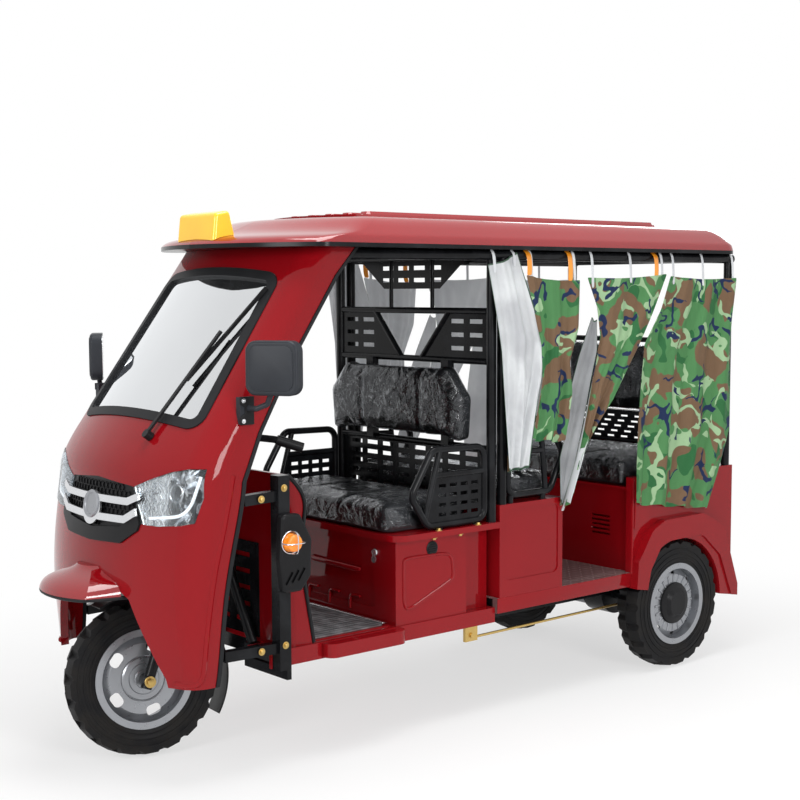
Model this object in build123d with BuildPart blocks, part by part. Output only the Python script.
from build123d import *
import os
from math import asin, cos, degrees, radians, sin, sqrt

# Electric passenger three-wheeler, millimetres, +X forward, +Y left, +Z up, ground at z = 0.

# Stance, read off the photograph against its 12 inch rims
wheelbase = 2240
front_reach = 330
rear_reach = 430
rear_axle_x = -(wheelbase + front_reach - rear_reach) / 2
front_axle_x = rear_axle_x + wheelbase
running_gap = 0.05
skin_gap = 0.4
shell_gap = 0.8
seat_gap = 2


def ahead(distance):
    # x of a station so far ahead of the rear axle
    return rear_axle_x + distance


# Wheels
rear_tyre_radius = 265
rear_tyre_width = 106
front_tyre_radius = 260
front_tyre_width = 100
bead_radius = 152
flange_radius = 168
rim_wall = 7
flange_wall = 4
rear_track = 854
axle_radius = 20
hub_radius = 42

# Steering
rake = 21
rest_steer = -15
camber = degrees(asin(sin(radians(abs(rest_steer))) * sin(radians(rake))))

# Chassis and floors
rail_y = 265
rail_width = 40
rail_height = 80
rail_top = 384
floor_sheet = 4
floor_top = 426
front_floor_top = 392
front_floor_depth = 55
body_half = 457
sheet = 12

# Seats
seat_box_front = 1483
seat_box_back = 1150
seat_top = 712
flange_depth = 22
bench_front = 1000
bench_back = 667
bench_top = 771
riser_x = 255
deck_top = 766
deck_sheet = 10
rear_panel_x = -380
panel_front = 270
panel_y = 430
mat_depth = 3

# Posts and roof
rear_post_x = -352
bench_post_x = 975
partition_x = 1028
post_radius = 18
post_y = 440
liner_depth = 14
roof_edge = 1712
frame_radius = 19
frame_z = roof_edge - liner_depth - frame_radius
cross_radius = 14
roof_skin = 8

# Cab: height, nose, half width, rear edge, nose radius, corner radius
cab_wall = 28
cab_top = roof_edge - liner_depth - skin_gap
cab_sections = [
    (318, 2424, 452, 2236, 900, 80),
    (455, 2430, 460, 2222, 950, 95),
    (600, 2431, 466, 2208, 1000, 110),
    (800, 2406, 470, 2168, 1100, 115),
    (960, 2384, 468, 2136, 1100, 115),
    (1010, 2366, 465, 2112, 1100, 114),
    (1060, 2336, 461, 2088, 1100, 112),
    (1110, 2300, 456, 2064, 1100, 110),
]
crease_row = 4
brow_row = 7
brow_z, brow_nose, brow_half, _, screen_radius, brow_corner = cab_sections[brow_row]
screen_lean = 0.735
pillar_draw = 0.0766
corner_draw = 0.0255
# the screen's straight rise: height and rear edge
for height, back in ((1360, 1905), (1607, 1722), (cab_top, 1633)):
    rise = height - brow_z
    cab_sections.append((height, brow_nose - rise * screen_lean, brow_half - rise * pillar_draw, back,
                         screen_radius, brow_corner - rise * corner_draw))
frame_front_y = cab_sections[-1][2] - cab_wall - frame_radius - 12
screen_low = (2229, 1112)
screen_high = (1877, 1607)
screen_half_low = 372
screen_half_high = 342
seal_width = 34


# Tread lugs
lug_count = 20
lug_depth = 11
lug_share = 0.60
lug_slope = 9
lug_pack = 0.94
lug_corner = lug_share * lug_pack / 2
bead_share = 0.80
lip_share = 0.87


def carcass_profile(half, radius):
    # half of a tyre's section under its lugs, as (across, out) from bead to crown
    return [
        (half * bead_share, bead_radius),
        (half, bead_radius + (flange_radius - bead_radius) * (1 - bead_share) / (lip_share - bead_share)),
        (half * 0.90, radius - lug_depth - lug_slope - 2),
    ]


def lug_edges(half, radius):
    # a lug's two outer corners, as (across, out)
    return [(0, radius), (half * 0.94, radius - lug_slope)]


front_axle_z = max(
    out * cos(radians(camber)) + across * sin(radians(camber))
    for across, out in lug_edges(front_tyre_width / 2, front_tyre_radius)
)
rear_axle_z = rear_tyre_radius

straight_ahead = Vector(cos(radians(rake)), 0, sin(radians(rake)))
steer_plane = Plane(
    origin=(front_axle_x, 0, front_axle_z),
    x_dir=straight_ahead * cos(radians(rest_steer)) + Vector(0, sin(radians(rest_steer)), 0),
    z_dir=(-sin(radians(rake)), 0, cos(radians(rake))),
)
front_wheel_plane = Plane(steer_plane.origin, x_dir=steer_plane.y_dir, z_dir=steer_plane.x_dir)
front_wheel_axis = Axis(steer_plane.origin, steer_plane.y_dir)


def steer_point(x, y, z):
    return steer_plane.from_local_coords(Vector(x, y, z))


# Shapes used more than once
def block(x0, x1, y0, y1, z0, z1, mode=Mode.ADD):
    with Locations(((x0 + x1) / 2, (y0 + y1) / 2, (z0 + z1) / 2)):
        Box(x1 - x0, y1 - y0, z1 - z0, mode=mode)


def rod(start, end, radius, mode=Mode.ADD):
    way = Vector(end) - Vector(start)
    with BuildSketch(Plane(origin=start, z_dir=way)) as section:
        Circle(radius)
    extrude(section.sketch, amount=way.length, mode=mode)


def bar(start, end, wide, deep, x_dir=(0, 1, 0)):
    way = Vector(end) - Vector(start)
    with BuildSketch(Plane(origin=start, x_dir=x_dir, z_dir=way)) as section:
        Rectangle(wide, deep)
    extrude(section.sketch, amount=way.length)


def tube(points, radius, bend, close=False):
    with BuildLine() as route:
        FilletPolyline(*points, radius=bend, close=close)
    with BuildSketch(Plane(origin=route.line @ 0, z_dir=route.line % 0)) as section:
        Circle(radius)
    sweep(section.sketch, path=route.line)


def spun(plane, axis, points, mode=Mode.ADD):
    with BuildSketch(plane) as section:
        with BuildLine():
            Polyline(*points, close=True)
        make_face()
    revolve(section.sketch, axis=axis, mode=mode)


def lug_ring(plane, across, out, phase):
    # toothed outline standing across the wheel's axis
    pitch = 360 / lug_count
    corners = []
    for turn in range(lug_count):
        for share, reach in ((-0.5, -lug_depth), (-lug_share / 2, 0), (lug_share / 2, 0), (0.5, -lug_depth)):
            corners.append(Vector(out + reach, 0).rotate(Axis.Z, (turn + phase + share * lug_pack) * pitch))
    with BuildSketch(Plane(plane.origin + plane.x_dir * across, x_dir=plane.y_dir,
                           z_dir=plane.x_dir)) as ring:
        with BuildLine():
            Polyline(*corners, close=True)
        make_face()
    return ring.sketch


def tyre(plane, axis, half, radius):
    # carcass under two staggered rings of lugs
    profile = carcass_profile(half, radius)
    inner, outer = lug_edges(half, radius)
    reach = outer[0] + 1
    for side, phase in ((-1, lug_corner + 0.5), (1, lug_corner)):
        loft([lug_ring(plane, side * across, out, phase) for across, out in (inner, outer)], ruled=True)
    bore = profile[1][1]
    spun(plane, axis, [(-reach, 0), (reach, 0), (reach, bore), (-reach, bore)], Mode.SUBTRACT)
    spun(plane, axis, profile + [(-across, out) for across, out in reversed(profile)])


def rim(plane, axis, half, face, windows, window_size, window_reach):
    # pressed rim: barrel, two flanges, dished disc and hub; face is where the disc meets the barrel
    seat = half * bead_share + skin_gap
    lip = half * lip_share + skin_gap
    bed = bead_radius - skin_gap
    spun(plane, axis, [
        (-seat, bead_radius - rim_wall), (seat, bead_radius - rim_wall),
        (lip + flange_wall, bead_radius - rim_wall),
        (lip + flange_wall, flange_radius), (lip, flange_radius), (seat, bed),
        (-seat, bed), (-lip, flange_radius), (-lip - flange_wall, flange_radius),
        (-lip - flange_wall, bead_radius - rim_wall),
    ])
    bore = axle_radius + running_gap
    spun(plane, axis, [
        (face - 6, bead_radius - rim_wall), (face, bead_radius - rim_wall), (face + 16, 118), (face + 16, 78),
        (face + 4, hub_radius + 8), (face + 4, hub_radius), (face + 12, hub_radius), (face + 12, bore),
        (-half, bore),
        (-half, hub_radius), (face - 4, hub_radius), (face - 2, hub_radius + 8), (face + 10, 80),
        (face + 10, 116),
    ])
    side = Plane(plane.origin, x_dir=plane.y_dir, z_dir=plane.x_dir)
    with BuildSketch(side) as holes:
        with PolarLocations(window_reach, windows):
            RectangleRounded(window_size * 0.72, window_size, window_size * 0.3)
    extrude(holes.sketch, amount=half, both=True, mode=Mode.SUBTRACT)


def cab_edge(row, inset):
    # corner points of the cab's outline at one height, for the left half
    height, nose, half_width, back, nose_radius, corner_radius = row
    middle = ahead(nose) - nose_radius
    swing = nose_radius - corner_radius
    lateral = half_width - corner_radius
    corner_x = middle + sqrt(swing * swing - lateral * lateral)
    toward = Vector((corner_x - middle) / swing, lateral / swing)
    halfway = (toward + Vector(0, 1)).normalized()
    corner = Vector(corner_x, lateral)
    return {
        "back": Vector(ahead(back), half_width - inset),
        "side": Vector(corner_x, half_width - inset),
        "bend": corner + halfway * (corner_radius - inset),
        "front": Vector(middle, 0) + toward * (nose_radius - inset),
        "nose": Vector(middle + nose_radius - inset, 0),
    }


def flip(point):
    return Vector(point.X, -point.Y)


def cab_shell(outer, inner, mode=Mode.ADD):
    # the layer of cab wall between two insets from its outer skin, open to the rear and below
    layers = []
    for row in cab_sections:
        with BuildSketch(Plane.XY.offset(row[0])) as layer:
            with BuildLine():
                for edge in (cab_edge(row, outer), cab_edge(row, inner)):
                    Line(edge["back"], edge["side"])
                    ThreePointArc(edge["side"], edge["bend"], edge["front"])
                    ThreePointArc(edge["front"], edge["nose"], flip(edge["front"]))
                    ThreePointArc(flip(edge["front"]), flip(edge["bend"]), flip(edge["side"]))
                    Line(flip(edge["side"]), flip(edge["back"]))
                skin = cab_edge(row, outer)["back"]
                lining = cab_edge(row, inner)["back"]
                Line(skin, lining)
                Line(flip(skin), flip(lining))
            make_face()
        layers.append(layer.sketch)
    loft(layers[:crease_row + 1], mode=mode)
    loft(layers[crease_row:brow_row + 1], mode=mode)
    loft(layers[brow_row:], ruled=True, mode=mode)


screen_tilt = (ahead(screen_low[0]) - ahead(screen_high[0]), screen_high[1] - screen_low[1])
screen_length = sqrt(screen_tilt[0] ** 2 + screen_tilt[1] ** 2)
screen_plane = Plane(
    origin=((ahead(screen_low[0]) + ahead(screen_high[0])) / 2, 0, (screen_low[1] + screen_high[1]) / 2),
    x_dir=(0, 1, 0),
    z_dir=(screen_tilt[1], 0, screen_tilt[0]),
)


def screen_prism(margin, mode):
    # straight prism through the windshield, its outline drawn in by a margin
    low = screen_half_low - margin
    high = screen_half_high - margin
    tall = screen_length / 2 - margin
    with BuildSketch(screen_plane) as outline:
        Polygon((-low, -tall), (low, -tall), (high, tall), (-high, tall), align=None)
        fillet(outline.vertices(), 60 - margin)
    extrude(outline.sketch, amount=160, both=True, mode=mode)


def front_prism(points, mode, margin=0):
    # prism along the vehicle through an outline given as (y, z), drawn in by a margin
    with BuildSketch(Plane.YZ.offset(ahead(2180))) as outline:
        with BuildLine():
            Polyline(*points, close=True)
        make_face()
        if margin:
            offset(amount=-margin, kind=Kind.INTERSECTION)
    extrude(outline.sketch, amount=420, mode=mode)


def both_sides(points):
    return points + [(-y, z) for y, z in reversed(points) if y]


def slots(rows, columns, row_pitch, column_pitch, long, tall):
    with GridLocations(column_pitch, row_pitch, columns, rows):
        Rectangle(long, tall, mode=Mode.SUBTRACT)


os.makedirs("parts", exist_ok=True)


def save(name, solid):
    solid.label = name
    export_step(solid, "parts/" + name + ".step")


# Chassis: two rails, cross members, bearers under the passenger floor and the head tube's down tubes
bearer_stations = [300, 520, 740, 980]
with BuildPart() as chassis_frame:
    for side in (-1, 1):
        block(ahead(-365), ahead(1985), side * rail_y - rail_width / 2, side * rail_y + rail_width / 2,
              rail_top - rail_height, rail_top)
    for station in (-345, 620, 1120, 1900):
        block(ahead(station) - 20, ahead(station) + 20, -rail_y, rail_y, rail_top - 60, rail_top)
    for station in bearer_stations:
        block(ahead(station) - 20, ahead(station) + 20, -430, 430, rail_top, floor_top - floor_sheet)
    for side in (-1, 1):
        low = front_floor_top - front_floor_depth
        block(ahead(1968), ahead(1985), min(side * rail_y, side * 489), max(side * rail_y, side * 489),
              low - 33, low)
save("chassis_frame", chassis_frame.part)

# Neck: head tube on the steering axis and two struts down to the front cross member
head_low = 430
head_high = 640
stem_radius = 18
head_wall = 9
with BuildPart() as front_neck:
    rod(steer_point(0, 0, head_low), steer_point(0, 0, head_high), stem_radius + head_wall)
    for side in (-1, 1):
        tube([(ahead(1965), side * rail_y, rail_top), (ahead(1985), side * 150, 640),
              steer_point(0, 0, head_low + 110)], 16, 50)
    rod(steer_point(0, 0, head_low - 1), steer_point(0, 0, head_high + 1), stem_radius + running_gap,
        Mode.SUBTRACT)
    block(ahead(1900), ahead(2100), -rail_y - 60, rail_y + 60, 300, rail_top, Mode.SUBTRACT)
save("front_neck", front_neck.part)

# Fork, stem and handlebar turn together about the steering axis
leg_y = 86
leg_radius = 19
crown_z = 372
with BuildPart() as front_fork:
    rod(steer_point(0, 0, crown_z), steer_point(0, 0, 760), stem_radius)
    with BuildSketch(Plane(steer_point(0, 0, crown_z), x_dir=steer_plane.x_dir, z_dir=steer_plane.z_dir)):
        RectangleRounded(64, leg_y * 2 + 56, 26)
    extrude(amount=40)
    for side in (-1, 1):
        rod(steer_point(0, side * leg_y, -26), steer_point(0, side * leg_y, crown_z + 20), leg_radius)
        rod(steer_point(0, side * leg_y, 120), steer_point(0, side * leg_y, 300), leg_radius + 9)
    rod(steer_point(0, -leg_y - 24, 0), steer_point(0, leg_y + 24, 0), axle_radius)
save("front_fork", front_fork.part)

bar_z = 858
with BuildPart() as handlebar:
    with BuildSketch(Plane(steer_point(0, 0, 700), x_dir=steer_plane.x_dir, z_dir=steer_plane.z_dir)):
        Circle(stem_radius + 10)
        Circle(stem_radius + running_gap, mode=Mode.SUBTRACT)
    extrude(amount=60)
    rod(steer_point(0, 0, 760), steer_point(0, 0, bar_z), stem_radius)
    tube([steer_point(-218, 283, bar_z + 22), steer_point(-125, 262, bar_z + 22), steer_point(0, 150, bar_z),
          steer_point(0, -150, bar_z), steer_point(-125, -262, bar_z + 22),
          steer_point(-218, -283, bar_z + 22)], 12, 45)
    for side in (-1, 1):
        rod(steer_point(-218, side * 283, bar_z + 22), steer_point(-128, side * 262.7, bar_z + 22), 17)
    with Locations(steer_plane.location * Location((-10, 0, bar_z + 20))):
        Box(120, 170, 55)
save("handlebar", handlebar.part)

guard_radius = 292
with BuildPart() as front_mudguard:
    with BuildSketch(Plane(steer_plane.origin, x_dir=steer_plane.x_dir,
                           z_dir=-steer_plane.y_dir)) as arc_band:
        with BuildLine():
            CenterArc((0, 0), guard_radius, 40, 150)
            CenterArc((0, 0), guard_radius - 6, 40, 150)
            Line(Vector(guard_radius, 0).rotate(Axis.Z, 40), Vector(guard_radius - 6, 0).rotate(Axis.Z, 40))
            Line(Vector(guard_radius, 0).rotate(Axis.Z, 190), Vector(guard_radius - 6, 0).rotate(Axis.Z, 190))
        make_face()
    extrude(amount=leg_y - leg_radius - 9 - 1, both=True)
    with BuildSketch(Plane(steer_point(0, 0, guard_radius - 2), x_dir=steer_plane.x_dir,
                           z_dir=steer_plane.z_dir)):
        Rectangle(70, 80)
    extrude(amount=crown_z - guard_radius + 2)
save("front_mudguard", front_mudguard.part)

# Wheels
with BuildPart() as front_tyre:
    tyre(front_wheel_plane, front_wheel_axis, front_tyre_width / 2, front_tyre_radius)
save("front_tyre", front_tyre.part)

with BuildPart() as front_rim:
    rim(front_wheel_plane, front_wheel_axis, front_tyre_width / 2, 14, 5, 50, 112)
save("front_rim", front_rim.part)

for name, side in (("left", 1), ("right", -1)):
    hub = Vector(rear_axle_x, side * rear_track / 2, rear_axle_z)
    wheel_plane = Plane(hub, x_dir=(0, side, 0), z_dir=(side, 0, 0))
    wheel_axis = Axis(hub, (0, 1, 0))
    with BuildPart() as rear_tyre:
        tyre(wheel_plane, wheel_axis, rear_tyre_width / 2, rear_tyre_radius)
    save("rear_tyre_" + name, rear_tyre.part)
    with BuildPart() as rear_rim:
        rim(wheel_plane, wheel_axis, rear_tyre_width / 2, 14, 8, 22, 128)
    save("rear_rim_" + name, rear_rim.part)
    cap_base = 14 + 16
    with BuildPart() as hub_cap:
        with BuildSketch(Plane(hub + Vector(0, side * cap_base, 0), x_dir=(1, 0, 0), z_dir=(0, side, 0))):
            RectangleRounded(150, 150, 52)
        with BuildSketch(Plane(hub + Vector(0, side * (cap_base + 26), 0), x_dir=(1, 0, 0),
                               z_dir=(0, side, 0))):
            RectangleRounded(88, 88, 30)
        loft()
    save("hub_cap_" + name, hub_cap.part)

# Rear axle with brake drums, motor and leaf springs
spring_y = 307
drum_radius = 104
with BuildPart() as rear_axle:
    inner_face = rear_track / 2 - rear_tyre_width / 2
    rod((rear_axle_x, -inner_face + 4, rear_axle_z), (rear_axle_x, inner_face - 4, rear_axle_z), 32)
    for side in (-1, 1):
        rod((rear_axle_x, side * (inner_face - 44), rear_axle_z),
            (rear_axle_x, side * (inner_face - 2), rear_axle_z), drum_radius)
        rod((rear_axle_x, side * (inner_face - 10), rear_axle_z),
            (rear_axle_x, side * (rear_track / 2 + 24), rear_axle_z),
            axle_radius)
    rod((rear_axle_x, 40, rear_axle_z), (rear_axle_x, 150, rear_axle_z), 95)
save("rear_axle", rear_axle.part)

# Brake rods from a bracket under the front floor back to the drums
bracket_x = 1130
with BuildPart() as brake_linkage:
    low = front_floor_top - front_floor_depth
    drum_reach = drum_radius + skin_gap
    block(ahead(bracket_x) - 30, ahead(bracket_x) + 30, 433, 445, low - 52, low)
    rod((ahead(bracket_x) - 30, 439, low - 40), (rear_axle_x + drum_reach, 345, rear_axle_z + 8), 5)
    rod((ahead(bracket_x), 438, low - 30), (ahead(bracket_x), 452, low - 30), 9)
    mirror(about=Plane.XZ)
save("brake_linkage", brake_linkage.part)

with BuildPart() as drive_motor:
    rod((rear_axle_x, -90, rear_axle_z), (rear_axle_x, 40, rear_axle_z), 78)
    rod((rear_axle_x, -95, rear_axle_z), (rear_axle_x, 45, rear_axle_z), 32, Mode.SUBTRACT)
save("drive_motor", drive_motor.part)

with BuildPart() as leaf_springs:
    for side in (-1, 1):
        with BuildSketch(Plane.XZ.offset(-side * spring_y)):
            with BuildLine():
                low = rear_axle_z + 32
                ThreePointArc((ahead(-330), rail_top - 40), (rear_axle_x, low), (ahead(330), rail_top - 40))
                ThreePointArc((ahead(-330), rail_top - 24), (rear_axle_x, low + 34),
                              (ahead(330), rail_top - 24))
                Line((ahead(-330), rail_top - 40), (ahead(-330), rail_top - 24))
                Line((ahead(330), rail_top - 40), (ahead(330), rail_top - 24))
            make_face()
        extrude(amount=22, both=True)
        for end in (-330, 330):
            block(ahead(end) - 18, ahead(end) + 18, side * spring_y - 22, side * spring_y + 22,
                  rail_top - 44, rail_top - 4)
save("leaf_springs", leaf_springs.part)

# Floors
with BuildPart() as front_floor:
    low = front_floor_top - front_floor_depth
    block(ahead(1012), ahead(2016), -445, 445, low, front_floor_top)
    for side in (-1, 1):
        with BuildSketch(Plane.XY.offset(low + 6)):
            with Locations((ahead(1640), side * 450)):
                RectangleRounded(345, 84, 38)
        extrude(amount=front_floor_depth - 8)
    block(ahead(1000), ahead(2030), -445 + sheet, 445 - sheet, low - 1, front_floor_top - 8, Mode.SUBTRACT)
    block(ahead(1946), ahead(2030), -310, 310, low - 1, front_floor_top + 1, Mode.SUBTRACT)
    block(ahead(seat_box_front) + 10, ahead(1855), -415, 415, front_floor_top, front_floor_top + mat_depth)
save("front_floor", front_floor.part)

with BuildPart() as rear_floor:
    block(ahead(panel_front), ahead(1012), -body_half, body_half, floor_top - floor_sheet, floor_top)
    block(ahead(riser_x), ahead(panel_front), -panel_y, panel_y, floor_top - floor_sheet, floor_top)
    for side in (-1, 1):
        middle = side * (body_half - sheet)
        block(ahead(panel_front), ahead(1012), middle - sheet, middle + sheet, floor_top - 56, floor_top)
    block(ahead(riser_x) + 20, ahead(bench_back) - 10, 20 - panel_y, panel_y - 20, floor_top,
          floor_top + mat_depth)
save("rear_floor", rear_floor.part)

# Driver seat box with its wide top flange
with BuildPart() as driver_seat_box:
    block(ahead(seat_box_back), ahead(seat_box_front), -438, 438, front_floor_top, seat_top - flange_depth)
    block(ahead(1012), ahead(seat_box_back), -400, 400, front_floor_top, seat_top - flange_depth)
    block(ahead(1012) + sheet, ahead(seat_box_front) - sheet, -388, 388, front_floor_top - 1,
          seat_top - flange_depth,
          Mode.SUBTRACT)
    with BuildSketch(Plane.XY.offset(seat_top - flange_depth)) as lid:
        with BuildLine():
            Polyline((ahead(1012), -470), (ahead(1505), -470), (ahead(1505), 470), (ahead(1012), 470),
                     close=True)
        make_face()
        fillet(lid.vertices().sort_by(Axis.X)[-2:], 60)
    extrude(amount=flange_depth)
    with BuildSketch(Plane.YZ.offset(ahead(seat_box_front))) as panel:
        with BuildLine():
            Polyline((-330, 440), (330, 440), (300, 660), (-300, 660), close=True)
        make_face()
        fillet(panel.vertices(), 24)
    extrude(amount=-5, mode=Mode.SUBTRACT)
save("driver_seat_box", driver_seat_box.part)

with BuildPart() as battery_pack:
    block(ahead(1180), ahead(1440), -330, 330, front_floor_top, 620)
save("battery_pack", battery_pack.part)

with BuildPart() as driver_cushion:
    block(ahead(1085), ahead(1512), -425, 425, seat_top, 812)
    fillet(driver_cushion.edges().filter_by(Axis.Z).sort_by(Axis.X)[-2:], 40)
    fillet(driver_cushion.edges().group_by(Axis.Z)[-1], 26)
save("driver_cushion", driver_cushion.part)

with BuildPart() as driver_backrest:
    with BuildSketch(Plane.YZ.offset(ahead(partition_x) + 30)) as pad:
        with BuildLine():
            Polyline((-392, 1000), (392, 1000), (405, 1170), (310, 1290), (-310, 1290), (-405, 1170),
                     close=True)
        make_face()
        fillet(pad.vertices(), 55)
    extrude(amount=78)
    fillet(driver_backrest.edges().group_by(Axis.X)[-1], 26)
save("driver_backrest", driver_backrest.part)

# Bent side rails beside the two seats, each with its inner bar and slotted plate
with BuildPart() as driver_seat_rails:
    y = post_y
    tube([(ahead(1064), y, 992), (ahead(1315), y, 997), (ahead(1415), y, 841), (ahead(1338), y, 727),
          (ahead(1064), y, 727)],
         13, 40, True)
    rod((ahead(1280), y, 996), (ahead(1352), y, 748), 11)
    rod((ahead(1064), y, 905), (ahead(1306), y, 905), 11)
    with BuildSketch(Plane.XZ.offset(-y)):
        with BuildLine():
            Polyline((ahead(1064), 730), (ahead(1346), 730), (ahead(1308), 905), (ahead(1064), 905),
                     close=True)
        make_face()
        with Locations((ahead(1190), 815)):
            slots(4, 4, 34, 52, 34, 13)
    extrude(amount=2, both=True)
    for x in (1110, 1280):
        rod((ahead(x), y, seat_top), (ahead(x), y, 727), 11)
    mirror(about=Plane.XZ)
save("driver_seat_rails", driver_seat_rails.part)

with BuildPart() as bench_rails:
    y = post_y
    back = ahead(bench_post_x) - post_radius - 13 - skin_gap
    tube([(back, y, 1092), (ahead(735), y, 1067), (ahead(650), y, 939), (ahead(722), y, 800),
          (back, y, 800)], 13, 40, True)
    rod((ahead(775), y, 1071), (ahead(745), y, 810), 11)
    rod((back, y, 962), (ahead(760), y, 957), 11)
    for x in (760, 930):
        rod((ahead(x), y, bench_top), (ahead(x), y, 800), 11)
    mirror(about=Plane.XZ)
save("bench_rails", bench_rails.part)

# Middle bench, riser under the rear seat and the rear body
with BuildPart() as bench_box:
    block(ahead(bench_back), ahead(bench_front), -body_half, body_half, floor_top, bench_top)
    block(ahead(bench_back) + sheet, ahead(bench_front) - sheet, -body_half + sheet, body_half - sheet,
          floor_top - 1,
          bench_top - sheet, Mode.SUBTRACT)
    for side in (-1, 1):
        with BuildSketch(Plane.XZ.offset(-side * body_half)):
            with Locations((ahead((bench_back + bench_front) / 2), (floor_top + bench_top) / 2 + 20)):
                RectangleRounded(284, 262, 24)
        extrude(amount=side * 4, mode=Mode.SUBTRACT)
save("bench_box", bench_box.part)

with BuildPart() as bench_cushion:
    block(ahead(655), ahead(1008), -418, 418, bench_top, bench_top + 92)
    fillet(bench_cushion.edges().group_by(Axis.Z)[-1], 24)
save("bench_cushion", bench_cushion.part)

with BuildPart() as rear_riser:
    with BuildSketch(Plane.YZ.offset(ahead(riser_x) - sheet)):
        with Locations((0, (rail_top + deck_top - deck_sheet) / 2)):
            Rectangle(860, deck_top - deck_sheet - rail_top)
        with Locations((282, 600), (-282, 600)):
            slots(5, 1, 18, 100, 100, 8)
    extrude(amount=sheet)
    block(ahead(rear_panel_x), ahead(riser_x) + 10, -430, 430, deck_top - deck_sheet, deck_top)
    block(ahead(rear_panel_x), ahead(rear_panel_x) + sheet, -430, 430, rail_top + 6, deck_top - deck_sheet)
save("rear_riser", rear_riser.part)

arch_clear = rear_tyre_radius + 8
flare_y = 486
arch_points = [(228, 250), (186, 430), (112, 535), (-140, 540), (-262, 440), (-352, 240)]
flare_points = [(270, 363), (262, 470), (176, 590), (100, 624), (-150, 628), (-286, 560), (-384, 300),
                (-384, 250)]
with BuildPart() as rear_side_panels:
    with BuildSketch(Plane.XZ.offset(-panel_y)):
        with BuildLine():
            Polyline((ahead(rear_panel_x), 300), (ahead(panel_front), 363), (ahead(panel_front), 808),
                     (ahead(rear_panel_x), 808), close=True)
        make_face()
        with Locations((rear_axle_x, rear_axle_z)):
            Circle(arch_clear, mode=Mode.SUBTRACT)
    extrude(amount=-28)
    with BuildSketch(Plane.XZ.offset(-458)) as flare:
        with BuildLine():
            Polyline(*[(ahead(x), z) for x, z in flare_points], close=True)
        make_face()
        fillet(flare.vertices().sort_by(Axis.Y)[-4:], 60)
        with Locations((rear_axle_x, rear_axle_z)):
            Circle(arch_clear, mode=Mode.SUBTRACT)
    extrude(amount=458 - flare_y)
    with BuildSketch(Plane.XZ.offset(-flare_y)) as lip:
        with BuildLine():
            Polyline(*[(ahead(x), z) for x, z in flare_points], close=True)
        make_face()
        fillet(lip.vertices().sort_by(Axis.Y)[-4:], 60)
        with BuildSketch(mode=Mode.SUBTRACT) as arch:
            with BuildLine():
                Polyline(*[(ahead(x), z) for x, z in arch_points], close=True)
            make_face()
            fillet(arch.vertices().sort_by(Axis.Y)[2:], 60)
    extrude(amount=-8)
    mirror(about=Plane.XZ)
save("rear_side_panels", rear_side_panels.part)

with BuildPart() as rear_cushion:
    block(ahead(-300), ahead(272), -418, 418, deck_top, deck_top + 104)
    fillet(rear_cushion.edges().group_by(Axis.Z)[-1], 28)
save("rear_cushion", rear_cushion.part)

with BuildPart() as rear_backrest:
    block(ahead(rear_post_x) + 24, ahead(rear_post_x) + 96, -405, 405, 1000, 1330)
    fillet(rear_backrest.edges().group_by(Axis.X)[-1], 26)
save("rear_backrest", rear_backrest.part)

# Posts and roof frame
with BuildPart() as roof_frame:
    for side in (-1, 1):
        for x, foot in ((partition_x, seat_top), (bench_post_x, bench_top), (rear_post_x, 808)):
            rod((ahead(x), side * post_y, foot), (ahead(x), side * post_y, frame_z), post_radius)
        tube([(ahead(rear_post_x) - 20, side * post_y, frame_z), (ahead(1100), side * post_y, frame_z),
              (ahead(1690), side * frame_front_y, frame_z)], frame_radius, 80)
    for x, half in ((rear_post_x, post_y), (320, post_y), (partition_x, post_y), (1660, frame_front_y + 4)):
        rod((ahead(x), -half, frame_z), (ahead(x), half, frame_z), cross_radius)
    for z in (870, 1000, 1330):
        rod((ahead(rear_post_x), -post_y, z), (ahead(rear_post_x), post_y, z), 12)
    for z in (1000, 1330):
        block(ahead(rear_post_x), ahead(rear_post_x) + 24, -380, 380, z - 10, z + 10)
save("roof_frame", roof_frame.part)

# Partition behind the driver: cross bars and slotted plates
with BuildPart() as partition_frame:
    x = ahead(partition_x)
    reach = post_y - post_radius
    top = frame_z - cross_radius - skin_gap
    for z in (775, 978, 1295, 1478):
        rod((x, -reach, z), (x, reach, z), 12)
    for side in (-1, 1):
        rod((x, side * 217, 1478), (x, side * 60, 1300), 11)
    with BuildSketch(Plane.YZ.offset(x - 2)):
        with Locations((0, 876)):
            Rectangle(reach * 2 - 4, 200)
            slots(5, 8, 38, 96, 66, 16)
    extrude(amount=4)
    with BuildSketch(Plane.YZ.offset(x - 2)) as fan:
        with BuildLine():
            Polyline((-160, 1560), (160, 1560), (300, top), (-300, top), close=True)
        make_face()
        with Locations((0, 1616)):
            slots(2, 4, 46, 92, 66, 16)
    extrude(amount=4)
    for y in (-120, 120):
        rod((x, y, 1478), (x, y, top), 8)
    for side in (-1, 1):
        with BuildSketch(Plane.YZ.offset(x - 2)):
            with BuildLine():
                Polyline((side * reach, 1478), (side * 217, 1478), (side * 62, 1300),
                         (side * reach, 1300), close=True)
            make_face()
            with Locations((side * 310, 1390)):
                slots(3, 2, 50, 100, 70, 16)
        extrude(amount=4)
    for y in (-220, 220):
        block(x, x + 30, y - 20, y + 20, 978, 1295)
save("partition_frame", partition_frame.part)

# Roof skin: lofted outlines, drawn in further at the nose than at the sides, with pressed ribs on top
nose_x = 2020
corner_x = 1815
roof_half = 492
roof_back = -362
roof_corner = 70


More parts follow.
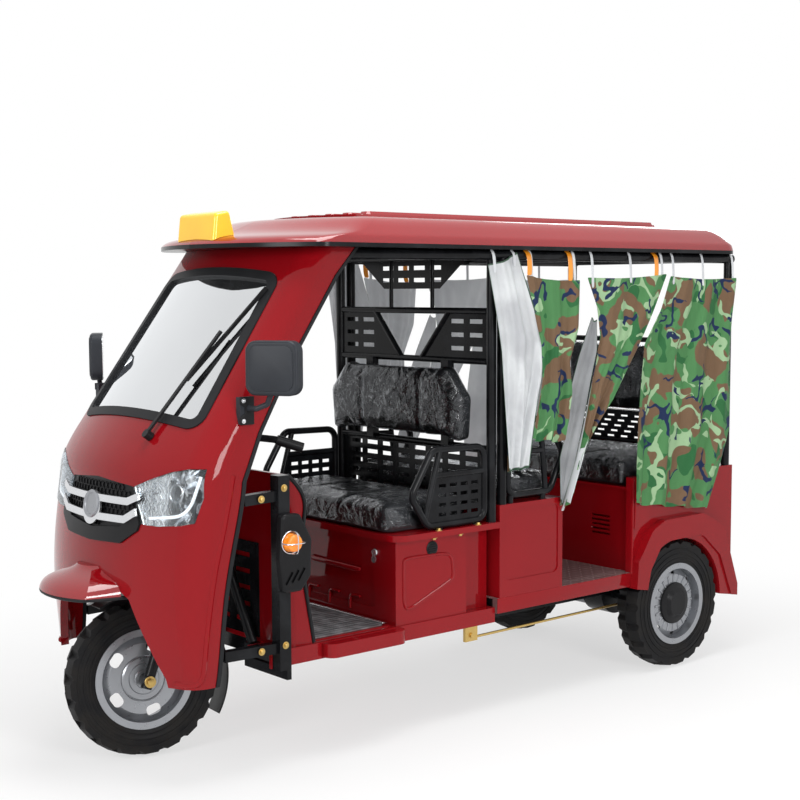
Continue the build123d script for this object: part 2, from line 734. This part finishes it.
def roof_outline(height, inset, nose_inset):
    half = roof_half - inset
    nose = ahead(nose_x) - nose_inset
    corner = nose - (nose_x - corner_x) * (half / roof_half) ** 2
    back = ahead(roof_back) + inset
    with BuildSketch(Plane.XY.offset(height)) as outline:
        with BuildLine():
            ThreePointArc((corner, -half), (nose - (nose - corner) / 4, -half / 2), (nose, 0))
            ThreePointArc((nose, 0), (nose - (nose - corner) / 4, half / 2), (corner, half))
            Line((corner, half), (back, half))
            Line((back, half), (back, -half))
            Line((back, -half), (corner, -half))
        make_face()
        fillet([point for point in outline.vertices() if abs(point.Y) > 1], roof_corner)
    return outline.sketch


# height over the roof's edge, inset of the sides, inset of the nose
roof_levels = [(0, 0, 0), (12, 2, 14), (30, 10, 90), (62, 40, 210), (90, 105, 330), (108, 230, 470)]
roof_top = roof_edge + roof_levels[-1][0]
rib_rise = 12
rib_width = 62
rib_pitch = 104
with BuildPart() as roof:
    loft([roof_outline(roof_edge + rise, inset, draw) for rise, inset, draw in roof_levels])
    loft([roof_outline(roof_edge + rise - roof_skin, inset + roof_skin, draw + roof_skin)
          for rise, inset, draw in roof_levels], mode=Mode.SUBTRACT)
    with BuildSketch(Plane.XY.offset(roof_top - 1)):
        with GridLocations(1, rib_pitch, 1, 5):
            with Locations((ahead(660), 0)):
                RectangleRounded(1560, rib_width, 24)
    extrude(amount=rib_rise + 1, taper=35)
save("roof", roof.part)

with BuildPart() as roof_liner:
    extrude(roof_outline(roof_edge - liner_depth, 0, 0), amount=liner_depth)
save("roof_liner", roof_liner.part)

sign_front = 1994
sign_back = 1912
sign_half = 115
sign_low = roof_edge + 10
sign_top = 1826
with BuildPart() as roof_sign:
    with BuildSketch(Plane.XZ.offset(-sign_half)) as profile:
        with BuildLine():
            Polyline((ahead(sign_back) - 8, sign_low), (ahead(sign_front) + 4, sign_low),
                     (ahead(sign_front) - 6, sign_top - 12),
                     (ahead(sign_back) + 18, sign_top), close=True)
        make_face()
        fillet(profile.vertices().sort_by(Axis.Y)[-2:], 16)
    extrude(amount=2 * sign_half)
    fillet(roof_sign.faces().sort_by(Axis.X)[-1].edges().filter_by(Axis.Y, reverse=True), 12)
    loft([roof_outline(roof_edge + rise + shell_gap, inset - shell_gap, draw - shell_gap) for rise, inset,
          draw in roof_levels],
         mode=Mode.SUBTRACT)
save("roof_sign", roof_sign.part)

# Cab
arch_outline = both_sides([(0, 622), (150, 622), (222, 585), (322, 395), (352, 345), (372, 250)])
pocket_half = [(0, 957), (190, 941), (199, 938), (287, 973), (347, 995), (407, 1008), (447, 1008), (453, 920),
               (442, 842), (404, 834), (325, 825), (250, 826), (244, 805), (171, 759), (0, 752)]
lens_outline = [(447, 1008), (407, 1008), (347, 995), (287, 973), (201, 939), (216, 895), (256, 826),
                (325, 825),
                (404, 834), (442, 842), (453, 920)]
grille_half = [(0, 957), (190, 941), (197, 936), (212, 893), (250, 826), (244, 805), (171, 759), (0, 752)]
lip_half = [(0, 796), (164, 812), (226, 864), (250, 826), (244, 805), (171, 759), (0, 752)]
bar_halves = [[(0, 881), (198, 882), (246, 902), (240, 924), (190, 905), (0, 903)],
              [(0, 821), (192, 825), (240, 852), (233, 875), (184, 848), (0, 843)]]
pocket_depth = 14
lens_face = -3
lens_back = 4
with BuildPart() as lamp_pocket:
    cab_shell(-1, pocket_depth)
    front_prism(both_sides(pocket_half), Mode.INTERSECT)

with BuildPart() as cab_shell_part:
    cab_shell(0, cab_wall)
    screen_prism(0, Mode.SUBTRACT)
    front_prism(arch_outline, Mode.SUBTRACT)
    add(lamp_pocket.part, mode=Mode.SUBTRACT)
save("cab_shell", cab_shell_part.part)

with BuildPart() as windshield:
    cab_shell(9, 14)
    screen_prism(seal_width + skin_gap, Mode.INTERSECT)
save("windshield", windshield.part)

with BuildPart() as windshield_seal:
    cab_shell(-6, 20)
    screen_prism(skin_gap, Mode.INTERSECT)
    screen_prism(seal_width, Mode.SUBTRACT)
save("windshield_seal", windshield_seal.part)

with BuildPart() as headlamps:
    cab_shell(lens_face, lens_back)
    front_prism(lens_outline, Mode.INTERSECT, skin_gap)
    mirror(about=Plane.XZ)
save("headlamps", headlamps.part)

# Grille plate with its black lower lip, then two bright bars and a plain disc over it
with BuildPart() as grille_lip:
    cab_shell(-8, pocket_depth - seat_gap)
    front_prism(both_sides(lip_half), Mode.INTERSECT, skin_gap)

with BuildPart() as grille:
    cab_shell(lens_back, pocket_depth - seat_gap)
    front_prism(both_sides(grille_half), Mode.INTERSECT, skin_gap)
    add(grille_lip.part)
save("grille", grille.part)

disc_z = 858
disc_radius = 55
with BuildPart() as bar_faces:
    cab_shell(-16, -8 - shell_gap)
    with BuildSketch(Plane.YZ.offset(ahead(2180))) as outlines:
        for half in bar_halves:
            with BuildLine():
                Polyline(*both_sides(half), close=True)
            make_face()
        with Locations((0, disc_z)):
            Circle(disc_radius)
    extrude(outlines.sketch, amount=420, mode=Mode.INTERSECT)

with BuildPart() as grille_bars:
    cab_shell(-12, lens_back - shell_gap)
    with BuildSketch(Plane.YZ.offset(ahead(2180))) as stems:
        with Locations((0, disc_z + 8)):
            Circle(disc_radius - 15)
        with Locations((-110, 892), (110, 892)):
            Rectangle(60, 14)
    extrude(stems.sketch, amount=420, mode=Mode.INTERSECT)
    add(bar_faces.part)
save("grille_bars", grille_bars.part)

# Beak over the front wheel: height, half width at the root, half width at the front corners, corner x, tip x
beak_root = 2380
beak_sections = [(590, 197, 158, 2522, 2570), (606, 194, 154, 2516, 2562), (642, 160, 105, 2478, 2512),
                 (672, 92, 50, 2440, 2456)]
with BuildPart() as front_beak:
    for height, half, corner_half, corner, tip in beak_sections:
        with BuildSketch(Plane.XY.offset(height)):
            with BuildLine():
                Polyline((ahead(corner), -corner_half), (ahead(beak_root), -half), (ahead(beak_root), half),
                         (ahead(corner), corner_half))
                ThreePointArc((ahead(corner), corner_half), (ahead(tip), 0), (ahead(corner), -corner_half))
            make_face()
    loft()
    cab_shell(-shell_gap, 75, Mode.SUBTRACT)
save("front_beak", front_beak.part)

# Rubber bead along the cab's rear edges
bead_depth = 14
bead_proud = 4
with BuildPart() as cab_trim:
    beads = []
    for row in cab_sections:
        back = ahead(row[3]) - shell_gap
        with BuildSketch(Plane.XY.offset(row[0])) as strip:
            with Locations((back - bead_depth / 2, row[2] + bead_proud - (cab_wall + bead_proud) / 2)):
                Rectangle(bead_depth, cab_wall + bead_proud)
        beads.append(strip.sketch)
    loft(beads[:crease_row + 1])
    loft(beads[crease_row:brow_row + 1])
    loft(beads[brow_row:], ruled=True)
    mirror(about=Plane.XZ)
    add(cab_shell_part.part, mode=Mode.SUBTRACT)
save("cab_trim", cab_trim.part)


def on_screen(y, z, lift):
    # a point off the windshield's outer face
    nose = brow_nose - (z - brow_z) * screen_lean
    skin = Vector(ahead(nose - screen_radius + sqrt(screen_radius ** 2 - y * y)), y, z)
    return skin + screen_plane.z_dir * lift


with BuildPart() as wiper:
    rod(on_screen(192, 1092, 1), on_screen(192, 1092, 26), 15)
    bar(on_screen(192, 1092, 20), on_screen(255, 1413, 22), 14, 8)
    bar(on_screen(219, 1262, 13), on_screen(324, 1558, 13), 9, 12)
    cab_shell(-shell_gap, cab_wall, Mode.SUBTRACT)
save("wiper", wiper.part)

# Leg shield, splash guard and the tube guards beside the cab
shield_front = 1945
shield_wall = 14
shield_top = 962
# side view of the shield's rear edge as (x, z)
shield_edge = [(1843, front_floor_top), (1843, 421), (1881, 678), (1866, 874), (1930, shield_top)]
with BuildPart() as leg_shield:
    with BuildSketch(Plane.XY.offset(front_floor_top)):
        with BuildLine():
            FilletPolyline((ahead(1840), 436), (ahead(shield_front), 424), (ahead(shield_front), -424),
                           (ahead(1840), -436),
                           radius=50)
            offset(amount=shield_wall, side=Side.RIGHT)
        make_face()
    extrude(amount=shield_top - front_floor_top)
    with BuildSketch(Plane.XZ) as side_view:
        with BuildLine():
            Polyline(*[(ahead(x), z) for x, z in shield_edge], (ahead(shield_front) + 20, shield_top),
                     (ahead(shield_front) + 20, front_floor_top), close=True)
        make_face()
    extrude(side_view.sketch, amount=500, both=True, mode=Mode.INTERSECT)
    block(ahead(1890), ahead(1970), -130, 130, 850, 970, Mode.SUBTRACT)
save("leg_shield", leg_shield.part)

with BuildPart() as splash_guard:
    with BuildSketch(Plane.YZ.offset(ahead(shield_front))):
        with Locations((0, 560)):
            Rectangle(560, 320)
            slots(5, 4, 56, 124, 84, 16)
    extrude(amount=3)
save("splash_guard", splash_guard.part)

guard_size = 44
with BuildPart() as front_guards:
    low = front_floor_top - front_floor_depth
    block(ahead(1968), ahead(2012), 445, 445 + guard_size, low, 970)
    bar((ahead(2000), 462, 905), (ahead(2124), 452, 898), 30, 34)
    bar((ahead(2000), 462, 410), (ahead(2203), 448, 410), 30, 34)
    mirror(about=Plane.XZ)
save("front_guards", front_guards.part)

panel_base = 445 + guard_size
panel_depth = 26
with BuildPart() as lamp_panels:
    with BuildSketch(Plane.XZ.offset(-panel_base)) as face:
        with BuildLine():
            Polyline((ahead(1902), 640), (ahead(1940), 594), (ahead(2012), 594), (ahead(2026), 700),
                     (ahead(2016), 850),
                     (ahead(1944), 846), (ahead(1898), 760), close=True)
        make_face()
        fillet(face.vertices(), 18)
    extrude(amount=-panel_depth)
    fillet(lamp_panels.faces().sort_by(Axis.Y)[-1].edges(), 10)
    with BuildSketch(Plane.XZ.offset(-panel_base - panel_depth)):
        for turn in range(3):
            with Locations(Location((ahead(1944 + 24 * turn), 650 - 4 * turn), 35)):
                Rectangle(10, 46)
    extrude(amount=7, mode=Mode.SUBTRACT)
    mirror(about=Plane.XZ)
save("lamp_panels", lamp_panels.part)

with BuildPart() as side_lamps:
    with BuildSketch(Plane.XZ.offset(-panel_base - panel_depth)):
        with Locations((ahead(1985), 758)):
            Circle(31)
    extrude(amount=-30, taper=8)
    fillet(side_lamps.faces().sort_by(Axis.Y)[-1].edges(), 8)
    mirror(about=Plane.XZ)
save("side_lamps", side_lamps.part)

mirror_turn = 30
mirror_spot = Vector(ahead(2075), 560, 1318)
mirror_back = Vector(cos(radians(mirror_turn)), sin(radians(mirror_turn)), 0)
with BuildPart() as mirrors:
    with BuildSketch(Plane(mirror_spot - mirror_back * 22, x_dir=(-mirror_back.Y, mirror_back.X, 0),
                           z_dir=mirror_back)):
        RectangleRounded(178, 170, 34)
    extrude(amount=44)
    fillet(mirrors.edges().group_by(Axis((0, 0, 0), mirror_back))[-1], 10)
    tube([(ahead(2110), 430, 1190), (ahead(2100), 500, 1190), (ahead(2078), 530, 1205),
          (ahead(2075), 545, 1240)], 9, 12)
    block(ahead(2085), ahead(2135), 440, 462, 1140, 1225)
    cab_shell(-shell_gap, cab_wall + 40, Mode.SUBTRACT)
    mirror(about=Plane.XZ)
    add(cab_shell_part.part, mode=Mode.SUBTRACT)
save("mirrors", mirrors.part)

# Curtains hang outside the posts
curtain_y = post_y + frame_radius + 0.3
curtain_sheet = 14
curtain_shapes = [
    [(1080, 1692), (913, 1692), (820, 1110), (830, 880), (990, 880)],
    [(877, 1692), (593, 1692), (669, 985), (820, 1000)],
    [(500, 1692), (60, 1692), (340, 1200), (640, 760), (694, 732), (640, 1000)],
    [(50, 1692), (-372, 1692), (-372, 1100), (-200, 640), (100, 720), (280, 730), (190, 1150)],
]
for name, side in (("left", 1), ("right", -1)):
    with BuildPart() as curtains:
        for shape in curtain_shapes:
            with BuildSketch(Plane.XZ.offset(-side * curtain_y)):
                with BuildLine():
                    Polyline(*[(ahead(x), z) for x, z in shape], close=True)
                make_face()
            extrude(amount=-side * curtain_sheet)
    save("curtains_" + name, curtains.part)

with BuildPart() as rear_bumper:
    for z in (262, 352):
        tube([(ahead(rear_panel_x) - 2, 416, z), (ahead(rear_panel_x - 38), 416, z),
              (ahead(rear_panel_x - 38), -416, z),
              (ahead(rear_panel_x) - 2, -416, z)], 12, 22)
    for side in (-1, 1):
        block(ahead(rear_panel_x - 40), ahead(-365), side * rail_y - 15, side * rail_y + 15, 250, rail_top)
save("rear_bumper", rear_bumper.part)
